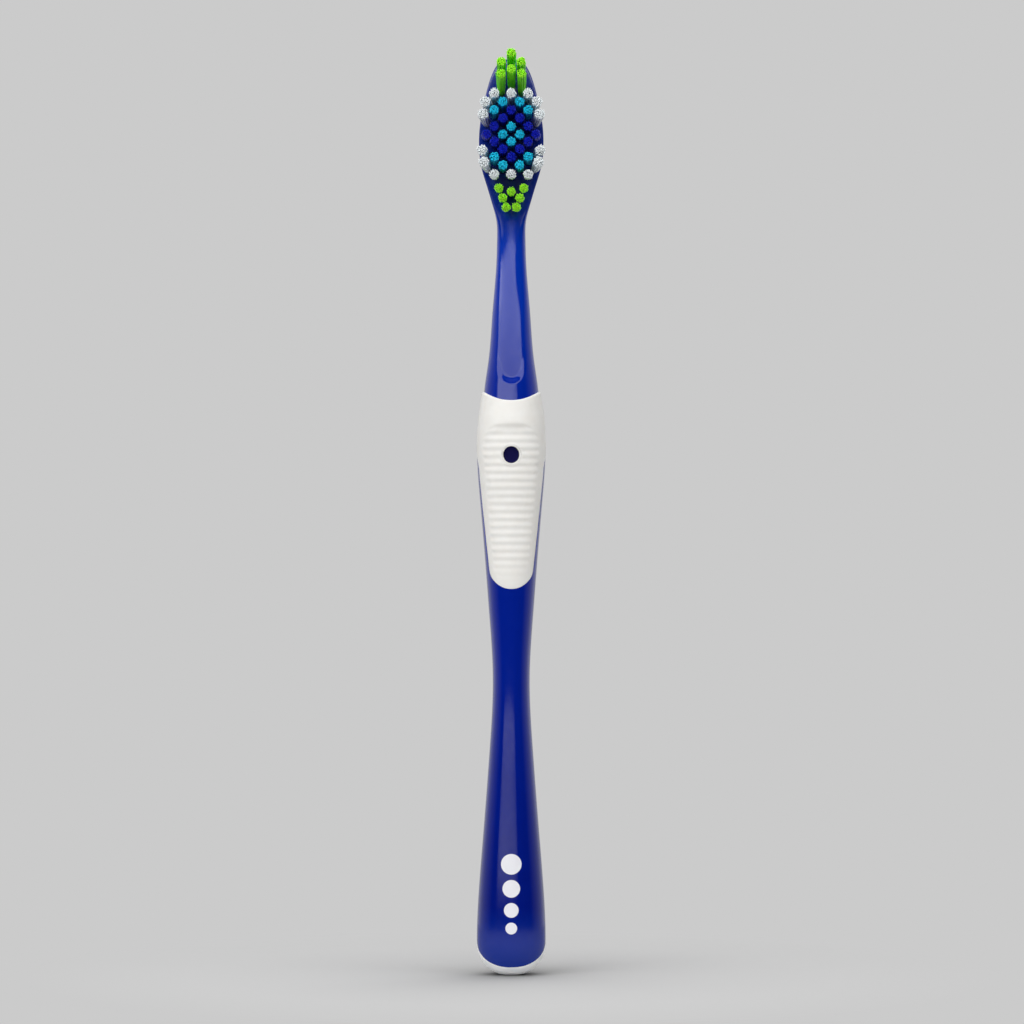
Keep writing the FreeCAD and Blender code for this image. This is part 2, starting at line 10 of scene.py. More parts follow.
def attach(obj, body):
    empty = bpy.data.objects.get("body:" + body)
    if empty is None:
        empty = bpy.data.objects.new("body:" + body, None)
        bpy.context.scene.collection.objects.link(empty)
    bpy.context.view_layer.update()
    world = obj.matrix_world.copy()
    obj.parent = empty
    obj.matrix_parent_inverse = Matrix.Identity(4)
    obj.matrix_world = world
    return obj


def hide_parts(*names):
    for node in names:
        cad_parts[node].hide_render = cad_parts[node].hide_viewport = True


# Manual toothbrush upright on a pale floor. Z runs up the brush, and the bristles face -Y.
# Forms are worked out in millimetres, and MM turns them into metres.
# Angles round a section are measured from the front, -Y.

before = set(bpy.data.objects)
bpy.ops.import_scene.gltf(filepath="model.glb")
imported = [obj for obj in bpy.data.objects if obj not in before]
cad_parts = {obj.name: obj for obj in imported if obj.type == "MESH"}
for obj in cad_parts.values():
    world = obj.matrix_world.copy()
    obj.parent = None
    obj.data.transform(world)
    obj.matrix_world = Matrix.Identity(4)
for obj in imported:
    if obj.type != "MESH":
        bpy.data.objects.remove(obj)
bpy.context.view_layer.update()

MM = 0.001

# Handle sections from butt to collar: height, width and depth
BUTT_FLAT_WIDTH = 3.0
BUTT_ROUNDNESS = 2.2
HANDLE_STATIONS = {
    "butt": (7.2, 14.16, 11.0),
    "shoulder": (19.1, 13.1, 10.4),
    "lower": (31.5, 11.12, 9.4),
    "shank": (46.0, 8.94, 8.5),
    "waist": (61.4, 7.62, 8.0),
    "upper": (74.0, 9.06, 8.9),
    "pad_end": (87.1, 11.06, 10.6),
    "pad": (98.0, 12.92, 12.0),
    "grip": (107.7, 14.1, 12.8),
    "collar": (115.0, 13.3, 11.8),
    "collar_top": (120.0, 11.82, 10.3),
    "collar_overrun": (122.05, 11.25, 9.97),
}
HANDLE_ROUNDNESS = 2.15

# Neck and head sections: height, width, depth, centre along Y and roundness
NECK_STATIONS = {
    "root": (117.15, 11.55, 10.12, 0.0, 2.1),
    "base": (120.0, 11.12, 9.6, 0.0, 2.1),
    "lower": (126.2, 9.4, 8.6, -0.075, 2.1),
    "middle": (136.0, 7.78, 7.4, -0.15, 2.1),
    "upper": (146.8, 6.1, 6.3, -0.225, 2.1),
    "thinnest": (151.0, 5.88, 5.8, -0.3, 2.1),
    "face_start": (155.0, 6.2, 6.46, -0.57, 2.49),
    "heel": (158.0, 7.74, 7.12, -0.84, 2.88),
    "heel_shoulder": (161.9, 10.04, 7.78, -1.11, 3.27),
    "field_low": (166.0, 12.4, 8.0, -1.2, 3.4),
    "field_lower": (168.9, 13.14, 8.0, -1.2, 3.4),
    "field_middle": (171.8, 13.26, 8.0, -1.2, 3.4),
    "field_upper": (174.7, 12.8, 8.0, -1.2, 3.4),
    "field_high": (177.6, 11.76, 8.0, -1.2, 3.4),
}
HEAD_TIP = 188.0
TIP_WIDTH_POWER = 1 / 3
TIP_DEPTH_POWER = 2.5
TIP_DEPTH_ROOT = 0.45

# Flat face of the head and the facet that runs down from it along the neck
FACE_FORWARD = -2.2
FACET_END_FORWARD = -4.0
FACET_END = 121.1
FACET_HALF_WIDTH = 3.3
FACET_WIDENS = 123.0
FACET_OPEN = 140.0
FACET_OPEN_HALF_WIDTH = 9.0
FACET_WALL = 1.7
FACET_EDGE = 0.4
FACET_TURN = 6.0
FACET_BULGE = 0.09
FACET_BULGE_HEIGHTS = (130.0, 147.0)
FACET_BULGE_FADE = (146.0, 157.0)

# Parting line of the soft grip, seen from the side
GRIP_SIDE_TOP = (-1.9, 106.0)
GRIP_SIDE_END = (-2.7, 82.1)
GRIP_BACK_TILT = 22.0
GRIP_BACK_ROUND = 4.0
GRIP_END_TILT = 55.0
GRIP_END_ROUND = 3.5
COLLAR_ARC_RADIUS = 10.8
COLLAR_ARC_CENTRE = 128.75
COLLAR_BLEND_START = 114.0

# Soft skins: how far they stand proud, the round of their edges and the wall behind them
SOFT_PROUD = 0.04
SOFT_EDGE = 0.3
SOFT_WALL = 0.5
CORE_SINK = 1.2
SINK_START = 0.25
SINK_END = 0.8
LEDGE_STEPS = (0.2, 0.5, 0.9)
GRIP_NEAR = 1.0
END_WALL_SHARE = 0.7

# Ribbed thumb zone, the flatter floor of its dish and the round window
RIB_TOP = 113.6
RIB_END = 80.9
RIB_TOP_HALF_WIDTH = 6.6
RIB_END_HALF_WIDTH = 3.6
RIB_TOP_ROUND = 5.6
RIB_END_ROUND = 3.1
RIB_PITCH = 1.61
RIB_GROOVE_OFFSET = 0.4
RIB_DEPTH = 0.09
RIB_FADE = 0.6
RIB_TAPER = 6.0
RIB_OVERRUN = 1.0
DISH_DEPTH = 0.45
DISH_FADE = 2.2
DISH_TAPER = 16.0
DISH_ROUNDNESS = 2.3
WINDOW_HEIGHT = 106.75
WINDOW_RADIUS = 1.8
WINDOW_SINK = 2.2
WINDOW_TILT = 6.0
WINDOW_MARGIN = 0.7
WINDOW_LIP = 0.2
WINDOW_FLOOR_MARGIN = 1.0
RIM_TUBE = 0.16
RIM_GAP = 0.1

# Soft end: everything below a plane that climbs to the back
END_RISE = 7.3
END_TILT = 53.0

# Mesh steps
COLUMNS = 240
GRIP_COLUMNS = 240
BORDER_STEP = 0.12
EDGE_CROWDING = 1.7
PATH_STEP = 0.002
LINE_STEP = 0.03
COLLAR_PASSES = 4
COLLAR_POINTS = 1200
COLLAR_ROWS = 60
BUTT_ROWS = 60
END_ROWS = 90
END_POINTS = 400
END_TOP = 20.0
RIB_OUTLINE_POINTS = 400
RIB_OUTLINE_STEP = 0.04
RIM_TURNS = 96
RIM_SIDES = 16
GRIP_WELD = 0.0004
WELD = 0.0001
CORNER_DECIMALS = 3

# Rows of the shank, and of the neck and head: from a height, to a height, in steps
SHANK_RUNS = (
    (HANDLE_STATIONS["butt"][0], 78.5, 0.45),
    (78.5, 81.5, 0.08),
    (81.5, 104.0, 0.2),
    (104.0, 117.0, 0.1),
)
NECK_RUNS = (
    (NECK_STATIONS["root"][0], 128.0, 0.1),
    (128.0, NECK_STATIONS["thinnest"][0], 0.25),
    (NECK_STATIONS["thinnest"][0], NECK_STATIONS["field_high"][0], 0.15),
)
TIP_ROWS = 70
TIP_LAST_SHARE = 0.02
TIP_CROWDING = 3

# Bristles
FILAMENTS = 60
FILAMENT_SHARE = 0.118
FILAMENT_SIDES = 6
FILAMENT_RINGS = (0.0, 0.3, 0.6, 0.85)
FILAMENT_DOME_ANGLES = (35.0, 65.0)
FILAMENT_STRAY = 0.05
FILAMENT_BOW = 0.03
FILAMENT_BOW_SPREAD = 0.02
BUNDLE_BASE_RADIUS = 0.68
BUNDLE_TIP_RADIUS = 0.92
WHITE_TIP_RADIUS = 1.0
SIDE_TIP_RADIUS = 1.06
BUNDLE_ROOT = 0.6
ROOT_DROP = 0.7
ROOT_DROP_HEIGHTS = (172.0, 168.0)
TIP_CROWN = 0.3
TIP_SCATTER = 0.3
SEED = 7

TUFT_SLOTS = {
    "toe_tuft": "green_nylon",
    "heel_tuft": "green_nylon",
    "toe_row_tuft": "white_nylon",
    "heel_row_tuft": "white_nylon",
    "side_tuft": "white_nylon",
    "ring_tuft": "dark_blue_nylon",
    "centre_tuft": "light_blue_nylon",
    "cross_tuft": "light_blue_nylon",
}

# Plain printed dots on the lower handle: height and radius, a generic mark
PRINT_DOTS = ((23.0, 2.1), (18.0, 1.8), (13.6, 1.5), (9.9, 1.2))
PRINT_EDGE = 0.03
PRINT_COLOUR = (0.78, 0.78, 0.82)
PRINT_ROUGHNESS = 0.15

# Blue of the handle, with colours that blend in between two heights: painted light and shade, darker low on
# the handle and at the head, lighter on the neck and at the bottom of the butt
BLUE_LOWER_PAINTED_SHADE = (0.0004, 0.0065, 0.165)
BLUE_PAINTED_LIGHT_ZONES = {
    "waist": (20.0, 62.0, (0.0005, 0.0115, 0.235)),
    "neck": (112.0, 146.0, (0.0006, 0.0300, 0.380)),
    "head": (150.0, 162.0, (0.0006, 0.0150, 0.200)),
    "butt": (14.0, 2.0, (0.0006, 0.0240, 0.270)),
}
BLUE_MOTTLE = {"scale": 300, "detail": 3, "low": 0.0, "high": 0.08}
BLUE_MOTTLE_COLOUR = (0.0008, 0.0200, 0.300)
BLUE_POLISH = {"scale": 900, "detail": 4, "low": 0.07, "high": 0.12}
BLUE_GRAIN = {"scale": 220, "detail": 1, "strength": 0.05, "depth": 0.02}
BLUE_IOR = 1.5
# Painted shade: a darker blue in the recess of the grip's window
WINDOW_PAINTED_SHADE = (0.0085, 0.0078, 0.061)

# White of the soft pieces, with painted light at the butt: brighter and cooler there
SOFT_COLOURS = ((0.80, 0.78, 0.74), (0.83, 0.815, 0.78))
SOFT_MOTTLE = {"scale": 500, "detail": 4, "low": 0.0, "high": 1.0}
SOFT_SHEEN = {"scale": 1500, "detail": 3, "low": 0.42, "high": 0.52}
SOFT_GRAIN = {"scale": 4200, "detail": 2, "strength": 0.12, "depth": 0.02}
SOFT_SCATTER = {"weight": 0.3, "radius": (1.0, 0.9, 0.8), "depth": 1.0}
SOFT_END_PAINTED_LIGHT = (0.92, 0.93, 0.94)
SOFT_END_LIGHT_HEIGHTS = (2.0, 16.0)

# Nylon: colour of the strand and of its paler tip, a painted highlight
NYLON_COLOURS = {
    "white_nylon": ((0.86, 0.93, 0.96), (0.90, 0.95, 0.97)),
    "green_nylon": ((0.24, 0.97, 0.010), (0.38, 0.97, 0.03)),
    "light_blue_nylon": ((0.004, 0.54, 0.86), (0.010, 0.64, 0.93)),
    "dark_blue_nylon": ((0.0008, 0.004, 0.42), (0.0015, 0.010, 0.50)),
}
NYLON_DARKEST = 0.85
NYLON_TIP_HIGHLIGHT_START = 0.94
NYLON_ROUGHNESS = (0.38, 0.5)
NYLON_SPECULAR = 0.3
NYLON_SCATTER = {"weight": 0.4, "radius": (1.0, 1.0, 1.0), "depth": 0.4}

# Brass of the anchors
BRASS_COLOURS = ((0.50, 0.33, 0.10), (0.62, 0.43, 0.16))
BRASS_WEAR = {"scale": 2500, "detail": 3, "low": 0.0, "high": 1.0}
BRASS_ROUGHNESS = (0.25, 0.4)

# Part of the noise that is stretched to a full range
NOISE_SPAN = (0.3, 0.7)


# Curves and sections


def cubic(knots, values, start_slope=None, end_slope=None):
    # Cubic spline through the knots, natural at an end that has no slope given
    x = np.array(knots, float)
    y = np.array(values, float)
    count = len(x)
    gap = np.diff(x)
    rate = np.diff(y) / gap
    matrix = np.zeros((count, count))
    right = np.zeros(count)
    matrix[0, 0] = 1
    matrix[-1, -1] = 1
    if start_slope is not None:
        matrix[0, :2] = (2 * gap[0], gap[0])
        right[0] = 6 * (rate[0] - start_slope)
    if end_slope is not None:
        matrix[-1, -2:] = (gap[-1], 2 * gap[-1])
        right[-1] = 6 * (end_slope - rate[-1])
    for row in range(1, count - 1):
        matrix[row, row - 1:row + 2] = (gap[row - 1], 2 * (gap[row - 1] + gap[row]), gap[row])
        right[row] = 6 * (rate[row] - rate[row - 1])
    bend = np.linalg.solve(matrix, right)

    def at(place):
        place = np.clip(place, x[0], x[-1])
        index = np.clip(np.searchsorted(x, place) - 1, 0, count - 2)
        ahead = x[index + 1] - place
        behind = place - x[index]
        step = gap[index]
        curved = (bend[index] * ahead**3 + bend[index + 1] * behind**3) / (6 * step)
        low = (y[index] / step - bend[index] * step / 6) * ahead
        high = (y[index + 1] / step - bend[index + 1] * step / 6) * behind
        return curved + low + high

    return at


def smooth_step(low, high, value):
    share = np.clip((value - low) / (high - low), 0.0, 1.0)
    return share * share * (3 - 2 * share)


def column(stations, index):
    return [station[index] for station in stations.values()]


BUTT_HEIGHT, BUTT_WIDTH = HANDLE_STATIONS["butt"][:2]
BUTT_FLAT_SHARE = BUTT_FLAT_WIDTH / BUTT_WIDTH
BUTT_REACH = BUTT_HEIGHT / (1 - BUTT_FLAT_SHARE**BUTT_ROUNDNESS) ** (1 / BUTT_ROUNDNESS)
handle_width = cubic(column(HANDLE_STATIONS, 0), column(HANDLE_STATIONS, 1), start_slope=0.0)
handle_depth = cubic(column(HANDLE_STATIONS, 0), column(HANDLE_STATIONS, 2), start_slope=0.0)

TIP_START, TIP_START_WIDTH = NECK_STATIONS["field_high"][:2]
TIP_LENGTH = HEAD_TIP - TIP_START
TIP_SLOPE = -TIP_WIDTH_POWER * TIP_START_WIDTH / TIP_LENGTH
neck_width = cubic(column(NECK_STATIONS, 0), column(NECK_STATIONS, 1), end_slope=TIP_SLOPE)
neck_depth = cubic(column(NECK_STATIONS, 0), column(NECK_STATIONS, 2), end_slope=0.0)
neck_centre = cubic(column(NECK_STATIONS, 0), column(NECK_STATIONS, 3), end_slope=0.0)
neck_roundness = cubic(column(NECK_STATIONS, 0), column(NECK_STATIONS, 4), end_slope=0.0)


def handle_form(height):
    # Half width, half depth, centre and roundness of the outside of handle and grip
    fall = np.clip((BUTT_HEIGHT - height) / BUTT_REACH, 0.0, 1.0)
    share = (1 - fall**BUTT_ROUNDNESS) ** (1 / BUTT_ROUNDNESS)
    above = np.maximum(height, BUTT_HEIGHT)
    still = np.zeros_like(height)
    return handle_width(above) / 2 * share, handle_depth(above) / 2 * share, still, still + HANDLE_ROUNDNESS


def neck_form(height):
    # Half width, half depth, centre and roundness of neck and head, with the rounded end of the head
    share = np.clip((height - TIP_START) / TIP_LENGTH, 0.0, 1.0)
    width = neck_width(height) * (1 - share) ** TIP_WIDTH_POWER
    depth = neck_depth(height) * (1 - share**TIP_DEPTH_POWER) ** TIP_DEPTH_ROOT
    return width / 2, depth / 2, neck_centre(height), neck_roundness(height)


def section_point(form, height, angle):
    # Point of a section at an angle from the front
    half_width, half_depth, centre, power = form(height)
    across = np.abs(np.sin(angle)) / half_width
    along = np.abs(np.cos(angle)) / half_depth
    radius = (across**power + along**power) ** (-1 / power)
    return np.stack([radius * np.sin(angle), centre - radius * np.cos(angle), height], axis=-1)


def outward(form, points):
    # Unit normals of a form at points on it
    nudge = 0.02
    x, y, height = points[..., 0], points[..., 1], points[..., 2]
    half_width, half_depth, centre, power = form(height)
    upper_width, upper_depth = form(height + nudge)[:2]
    lower_width, lower_depth = form(height - nudge)[:2]
    offset = y - centre
    x_share = np.abs(x) / half_width
    y_share = np.abs(offset) / half_depth
    across = power * x_share ** (power - 1) * np.sign(x) / half_width
    along = power * y_share ** (power - 1) * np.sign(offset) / half_depth
    width_rate = (upper_width - lower_width) / (2 * nudge * half_width)
    depth_rate = (upper_depth - lower_depth) / (2 * nudge * half_depth)
    rise = -power * (x_share**power * width_rate + y_share**power * depth_rate)
    normal = np.stack([across, along, rise], axis=-1)
    return normal / np.linalg.norm(normal, axis=-1, keepdims=True)


# Meshes


def grid_faces(rows, columns, wrapped, first=0):
    # Quads of a grid of vertices whose columns close round on themselves where wrapped
    last = columns if wrapped else columns - 1
    row, place = np.meshgrid(np.arange(rows - 1), np.arange(last), indexing="ij")
    ahead = (place + 1) % columns
    low = first + row * columns
    high = low + columns
    corners = np.stack([low + place, low + ahead, high + ahead, high + place], axis=-1)
    return corners.reshape(-1, 4).tolist()


def ring_solid(grid, first=0):
    # Vertices and faces of closed rings, with both ends drawn to a middle point
    rows, columns = grid.shape[:2]
    vertices = grid.reshape(-1, 3).tolist()
    faces = grid_faces(rows, columns, True, first)
    for row, order in ((0, 1), (rows - 1, -1)):
        middle = first + len(vertices)
        vertices.append(grid[row].mean(axis=0).tolist())
        start = first + row * columns
        for place in range(columns):
            pair = (start + (place + 1) % columns, start + place)
            faces.append([*pair[::order], middle])
    return vertices, faces


def new_piece(name, vertices, faces, slot):
    # A smooth piece on the one body of the part
    mesh = bpy.data.meshes.new(name)
    mesh.from_pydata((np.array(vertices) * MM).tolist(), [], faces)
    mesh.polygons.foreach_set("use_smooth", [True] * len(mesh.polygons))
    mesh.update()
    piece = bpy.data.objects.new(name, mesh)
    bpy.context.scene.collection.objects.link(piece)
    mesh.materials.append(MATERIALS[slot])
    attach(piece, "root")
    return piece


def weld(piece, distance):
    shell = bmesh.new()
    shell.from_mesh(piece.data)
    bmesh.ops.remove_doubles(shell, verts=shell.verts, dist=distance * MM)
    bmesh.ops.recalc_face_normals(shell, faces=shell.faces)
    shell.to_mesh(piece.data)
    shell.free()


def thicken(piece, wall):
    # Gives a soft skin its wall, inwards from the visible side
    solid = piece.modifiers.new("wall", "SOLIDIFY")
    solid.thickness = wall * MM
    solid.offset = -1


def distance_to(line, points):
    # Distance of each point from a line given as closely spaced points
    tree = KDTree(len(line))
    for index, place in enumerate(line):
        tree.insert(place, index)
    tree.balance()
    flat = points.reshape(-1, 3)
    found = np.array([tree.find(place)[2] for place in flat.tolist()])
    return found.reshape(points.shape[:-1])


def edge_fall(distance):
    # How far a rounded edge has dropped at a distance from its border
    inside = np.clip(SOFT_EDGE - distance, 0.0, SOFT_EDGE)
    return SOFT_EDGE - np.sqrt(SOFT_EDGE**2 - inside**2)


# Borders of the soft pieces


def corner_arc(corner, before, after, radius, steps=40):
    # Points of the round between two directions that leave a corner
    corner = np.array(corner)
    middle = before + after
    middle = middle / np.linalg.norm(middle)
    half = math.acos(float(before @ after)) / 2
    centre = corner + middle * radius / math.sin(half)
    first = corner + before * radius / math.tan(half) - centre
    last = corner + after * radius / math.tan(half) - centre
    shares = np.linspace(0, 1, steps)[:, None]
    arc = first * (1 - shares) + last * shares
    return centre + radius * arc / np.linalg.norm(arc, axis=1, keepdims=True)


def direction(tilt, sign):
    return sign * np.array([math.cos(math.radians(tilt)), math.sin(math.radians(tilt))])


def resample(points, step):
    # Points at even steps along a line
    reach = np.concatenate([[0], np.cumsum(np.linalg.norm(np.diff(points, axis=0), axis=1))])
    places = np.linspace(0, reach[-1], int(reach[-1] / step) + 2)
    return np.stack([np.interp(places, reach, points[:, axis]) for axis in range(points.shape[1])], axis=1)


def grip_border():
    # Angle and height along the lower border of the grip, from the end of the pad to the back of the collar
    far = 14.0
    side = np.array(GRIP_SIDE_TOP) - np.array(GRIP_SIDE_END)
    side = side / np.linalg.norm(side)
    front = direction(GRIP_END_TILT, -1)
    back = direction(GRIP_BACK_TILT, 1)
    path = np.concatenate([
        [np.array(GRIP_SIDE_END) + far * front],
        corner_arc(GRIP_SIDE_END, front, side, GRIP_END_ROUND),
        corner_arc(GRIP_SIDE_TOP, -side, back, GRIP_BACK_ROUND),
        [np.array(GRIP_SIDE_TOP) + far * back],
    ])
    path = resample(path, PATH_STEP)
    half_width, half_depth, centre, power = handle_form(path[:, 1])
    share = (path[:, 0] - centre) / half_depth
    inside = np.abs(share) < 1
    share = share[inside]
    across = half_width[inside] * (1 - np.abs(share) ** power[inside]) ** (1 / power[inside])
    line = np.stack([across, path[inside, 0], path[inside, 1]], axis=1)
    line = resample(line, BORDER_STEP)
    angle = np.arctan2(line[:, 0], -line[:, 1])
    angle[0] = 0.0
    angle[-1] = math.pi
    return angle, line[:, 2]


def collar_height(angle):
    # Height of the upper border of the collar, an arc seen from the front
    height = np.full_like(angle, HANDLE_STATIONS["collar_top"][0])
    for _ in range(COLLAR_PASSES):
        across = section_point(handle_form, height, angle)[..., 0]
        height = COLLAR_ARC_CENTRE - np.sqrt(COLLAR_ARC_RADIUS**2 - across**2)
    return height


def mirror_line(line):
    return np.concatenate([line, line * np.array([-1, 1, 1])])


border_angle, border_height = grip_border()
grip_line = section_point(handle_form, border_height, border_angle)
grip_line = mirror_line(resample(grip_line, LINE_STEP))
turns = np.linspace(-math.pi, math.pi, COLLAR_POINTS)
collar_line = section_point(handle_form, collar_height(turns), turns)


def in_grip(points):
    # True where the grip covers the handle
    height = points[..., 2]
    border_depth = section_point(handle_form, border_height, border_angle)[:, 1]
    side = np.interp(height, border_height, border_depth)
    above = height >= border_height[-1]
    return above | ((height > border_height[0]) & (points[..., 1] < side))


def end_level(points):
    # Distance below the parting plane of the soft end
    slope = math.radians(END_TILT)
    return (END_RISE + math.tan(slope) * points[..., 1] - points[..., 2]) * math.cos(slope)


# Materials


def add_node(tree, kind, **values):
    node = tree.nodes.new(kind)
    for name, value in values.items():
        setattr(node, name, value)
    return node


def noise_field(tree, scale, detail):
    place = add_node(tree, "ShaderNodeTexCoord")
    noise = add_node(tree, "ShaderNodeTexNoise")
    noise.inputs["Scale"].default_value = scale
    noise.inputs["Detail"].default_value = detail
    tree.links.new(place.outputs["Object"], noise.inputs["Vector"])
    return noise.outputs["Fac"]


def remap(tree, source, low, high, to_low, to_high):
    span = add_node(tree, "ShaderNodeMapRange")
    span.inputs["From Min"].default_value = low
    span.inputs["From Max"].default_value = high
    span.inputs["To Min"].default_value = to_low
    span.inputs["To Max"].default_value = to_high
    tree.links.new(source, span.inputs["Value"])
    return span.outputs["Result"]


def uneven(tree, scale, detail, low, high):
    # Noise stretched between two values
    return remap(tree, noise_field(tree, scale, detail), *NOISE_SPAN, low, high)


def blend_colours(tree, share, first, second):
    # Mix of two colours, each a constant or a socket
    mix = add_node(tree, "ShaderNodeMix", data_type="RGBA")
    tree.links.new(share, mix.inputs["Factor"])
    for name, colour in (("A", first), ("B", second)):
        socket = next(s for s in mix.inputs if s.name == name and s.type == "RGBA")
        if isinstance(colour, tuple):
            socket.default_value = (*colour, 1.0)
        else:
            tree.links.new(colour, socket)
    return next(s for s in mix.outputs if s.type == "RGBA")


def arithmetic(tree, operation, first, second):
    math_node = add_node(tree, "ShaderNodeMath", operation=operation)
    for socket, value in zip(math_node.inputs, (first, second)):
        if isinstance(value, (int, float)):
            socket.default_value = value
        else:
            tree.links.new(value, socket)
    return math_node.outputs["Value"]


def grain(tree, shader, scale, detail, strength, depth):
    bump = add_node(tree, "ShaderNodeBump")
    bump.inputs["Strength"].default_value = strength
    bump.inputs["Distance"].default_value = depth * MM
    tree.links.new(noise_field(tree, scale, detail), bump.inputs["Height"])
    tree.links.new(bump.outputs["Normal"], shader.inputs["Normal"])


def scatter(shader, weight, radius, depth):
    # Light that travels under the surface
    shader.inputs["Subsurface Weight"].default_value = weight
    shader.inputs["Subsurface Radius"].default_value = radius
    shader.inputs["Subsurface Scale"].default_value = depth * MM


def new_material(name):
    material = bpy.data.materials.new(name)
    material.use_nodes = True
    return material, material.node_tree, material.node_tree.nodes["Principled BSDF"]


def object_height(tree):
    place = add_node(tree, "ShaderNodeTexCoord")
    axes = add_node(tree, "ShaderNodeSeparateXYZ")
    tree.links.new(place.outputs["Object"], axes.inputs["Vector"])
    return axes.outputs["Z"]


def dot_mask(tree, dots):
    # 1 inside round dots on the front, each given by its height and radius
    place = add_node(tree, "ShaderNodeTexCoord")
    axes = add_node(tree, "ShaderNodeSeparateXYZ")
    tree.links.new(place.outputs["Object"], axes.inputs["Vector"])
    across = arithmetic(tree, "POWER", axes.outputs["X"], 2.0)
    mask = 0.0
    for height, radius in dots:
        rise = arithmetic(tree, "SUBTRACT", axes.outputs["Z"], height * MM)
        square = arithmetic(tree, "ADD", across, arithmetic(tree, "POWER", rise, 2.0))
        reach = arithmetic(tree, "SQRT", square, 0.0)
        dot = remap(tree, reach, (radius - PRINT_EDGE) * MM, (radius + PRINT_EDGE) * MM, 1.0, 0.0)
        mask = arithmetic(tree, "MAXIMUM", dot, mask)
    front = arithmetic(tree, "LESS_THAN", axes.outputs["Y"], 0.0)
    return arithmetic(tree, "MULTIPLY", mask, front)


def blue_plastic():
    material, tree, shader = new_material("blue_plastic")
    height = object_height(tree)
    blue = BLUE_LOWER_PAINTED_SHADE
    # Painted light and shade: the blue turns lighter or darker by height
    for start, end, colour in BLUE_PAINTED_LIGHT_ZONES.values():
        share = remap(tree, height, start * MM, end * MM, 0.0, 1.0)
        blue = blend_colours(tree, share, blue, colour)
    blue = blend_colours(tree, uneven(tree, **BLUE_MOTTLE), blue, BLUE_MOTTLE_COLOUR)
    # Painted shade: the core in the window's recess is darkened
    window = dot_mask(tree, [(WINDOW_HEIGHT, WINDOW_RADIUS + WINDOW_MARGIN)])
    blue = blend_colours(tree, window, blue, WINDOW_PAINTED_SHADE)
    ink = dot_mask(tree, PRINT_DOTS)
    tree.links.new(blend_colours(tree, ink, blue, PRINT_COLOUR), shader.inputs["Base Color"])
    polish = uneven(tree, **BLUE_POLISH)
    rough = arithmetic(tree, "ADD", polish, arithmetic(tree, "MULTIPLY", ink, PRINT_ROUGHNESS))
    tree.links.new(rough, shader.inputs["Roughness"])
    shader.inputs["IOR"].default_value = BLUE_IOR
    grain(tree, shader, **BLUE_GRAIN)
    return material


def white_soft():
    material, tree, shader = new_material("white_soft")
    colour = blend_colours(tree, uneven(tree, **SOFT_MOTTLE), *SOFT_COLOURS)
    # Painted light: the white turns brighter and cooler towards the bottom of the butt, on the soft end's
    # downward face
    lowest, highest = SOFT_END_LIGHT_HEIGHTS
    low = remap(tree, object_height(tree), lowest * MM, highest * MM, 1.0, 0.0)
    tree.links.new(blend_colours(tree, low, colour, SOFT_END_PAINTED_LIGHT), shader.inputs["Base Color"])
    tree.links.new(uneven(tree, **SOFT_SHEEN), shader.inputs["Roughness"])
    scatter(shader, **SOFT_SCATTER)
    grain(tree, shader, **SOFT_GRAIN)
    return material


def nylon(name, colour, tip_colour):
    # Filament plastic: each filament a little lighter or darker, and paler at its rounded end, a painted
    # highlight
    material, tree, shader = new_material(name)
    island = add_node(tree, "ShaderNodeNewGeometry").outputs["Random Per Island"]
    darker = tuple(part * NYLON_DARKEST for part in colour)
    strand = blend_colours(tree, island, darker, colour)
    tip = add_node(tree, "ShaderNodeAttribute", attribute_name="tip").outputs["Fac"]
    tip_highlight = remap(tree, tip, NYLON_TIP_HIGHLIGHT_START, 1.0, 0.0, 1.0)
    tree.links.new(blend_colours(tree, tip_highlight, strand, tip_colour), shader.inputs["Base Color"])
    tree.links.new(remap(tree, island, 0.0, 1.0, *NYLON_ROUGHNESS), shader.inputs["Roughness"])
    shader.inputs["Specular IOR Level"].default_value = NYLON_SPECULAR
    scatter(shader, **NYLON_SCATTER)
    return material


def anchor_brass():
    material, tree, shader = new_material("anchor_brass")
    wear = uneven(tree, **BRASS_WEAR)
    tree.links.new(blend_colours(tree, wear, *BRASS_COLOURS), shader.inputs["Base Color"])
    shader.inputs["Metallic"].default_value = 1.0
    tree.links.new(remap(tree, wear, 0.0, 1.0, *BRASS_ROUGHNESS), shader.inputs["Roughness"])
    return material


MATERIALS = {
    "blue_plastic": blue_plastic(),
    "white_soft": white_soft(),
    "anchor_brass": anchor_brass(),
    **{name: nylon(name, *colours) for name, colours in NYLON_COLOURS.items()},
}


# Handle, neck and head


def row_heights(runs):
    # Heights at even steps in runs of start, end and step
    parts = []
    for low, high, step in runs:
        count = max(2, round((high - low) / step))
        parts.append(np.linspace(low, high, count, endpoint=False))
    return np.concatenate([*parts, [runs[-1][1]]])


def butt_heights():
    # Heights up the dome of the butt, even in angle
    first = math.asin(BUTT_FLAT_SHARE ** (BUTT_ROUNDNESS / 2))
    angles = np.linspace(first, math.pi / 2, BUTT_ROWS, endpoint=False)
    return BUTT_HEIGHT - BUTT_REACH * np.cos(angles) ** (2 / BUTT_ROUNDNESS)


def ring_grid(form, heights):
    angles = np.linspace(-math.pi, math.pi, COLUMNS, endpoint=False)
    height, angle = np.meshgrid(heights, angles, indexing="ij")
    return section_point(form, height, angle)


def window_floor(points):
    # The core in the window of the grip leans back towards its lower side
    rise = points[..., 2] - WINDOW_HEIGHT
    from_window = np.hypot(points[..., 0], rise)
    inside = smooth_step(WINDOW_RADIUS + WINDOW_FLOOR_MARGIN, WINDOW_RADIUS + WINDOW_LIP, from_window)
    lean = math.tan(math.radians(WINDOW_TILT)) * (WINDOW_RADIUS - rise)
    return np.where(points[..., 1] < 0, inside * lean, 0.0)


